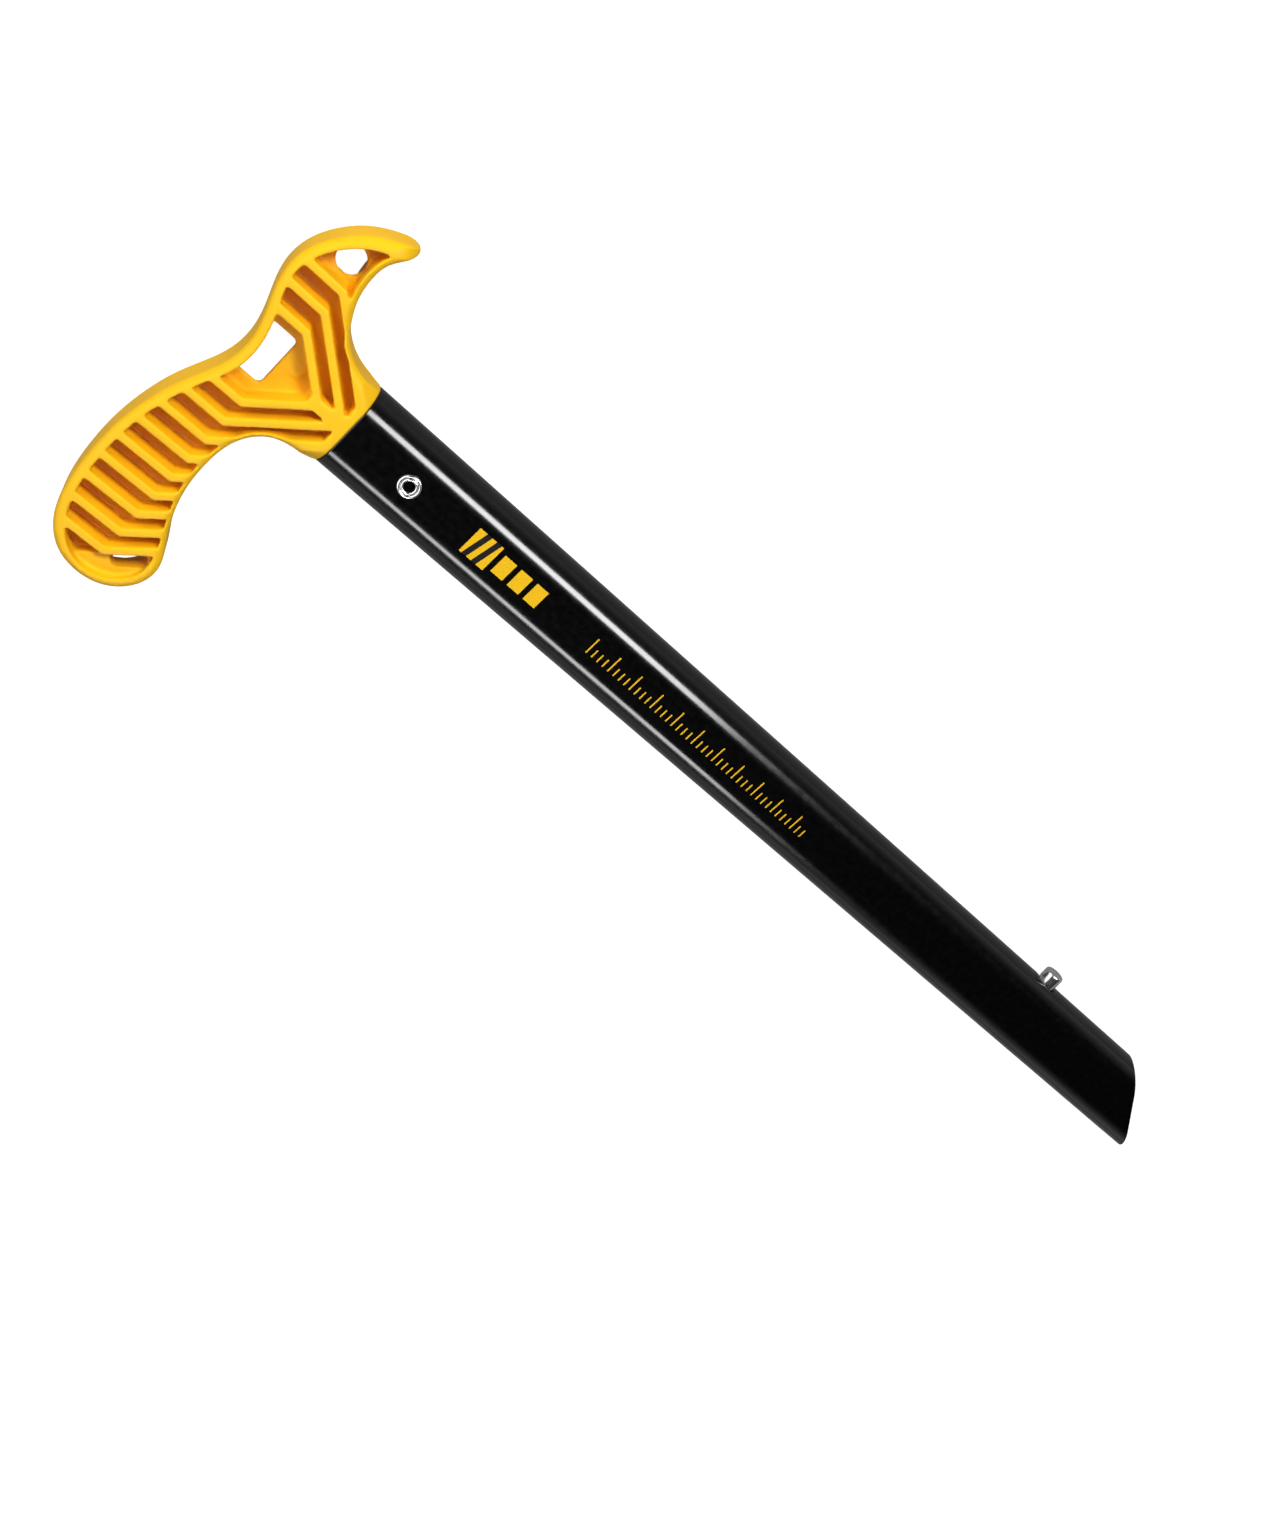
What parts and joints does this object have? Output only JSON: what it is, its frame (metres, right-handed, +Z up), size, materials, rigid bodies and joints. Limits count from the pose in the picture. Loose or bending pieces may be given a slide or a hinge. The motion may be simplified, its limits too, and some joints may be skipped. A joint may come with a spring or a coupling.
{
  "type": "oval tool shaft with moulded pick-shaped grip",
  "caption": "Take-apart snow tool shaft: moulded pick-shaped ribbed grip riveted into a flat-oval aluminium tube, with a sprung snap button near the slanted free end.",
  "frame": {"origin": "centre of the whole object's bounding box in X and Y, at its lowest point in Z, with the tool lying flat", "axes": "+X from the grip down the tube to the slanted free end, +Y across the wide way of the tube towards the pick and the snap button, +Z up through the thickness"},
  "size_m": [0.471, 0.1442, 0.0196],
  "materials": {
    "tube": "glossy black anodised, lightly drawn along its length",
    "grip": "satin injection moulded, yellow",
    "rivet": "bright plated",
    "button": "turned, satin",
    "spring": "rolled spring steel"
  },
  "bodies": {
    "shaft": {"shaft_tube": "tube", "grip": "grip", "grip_rivet": "rivet", "button_leaf_spring": "spring"},
    "button": {"lock_button": "button"}
  },
  "joints": [
    {"name": "button_press", "type": "slide", "parent": "shaft", "child": "button", "axis": [0.1392, -0.9903, 0], "range_m": [0, 0.0052], "stiffness_N_per_m": 1500, "springref_m": -0.003, "deforming": ["button_leaf_spring"]}
  ]
}
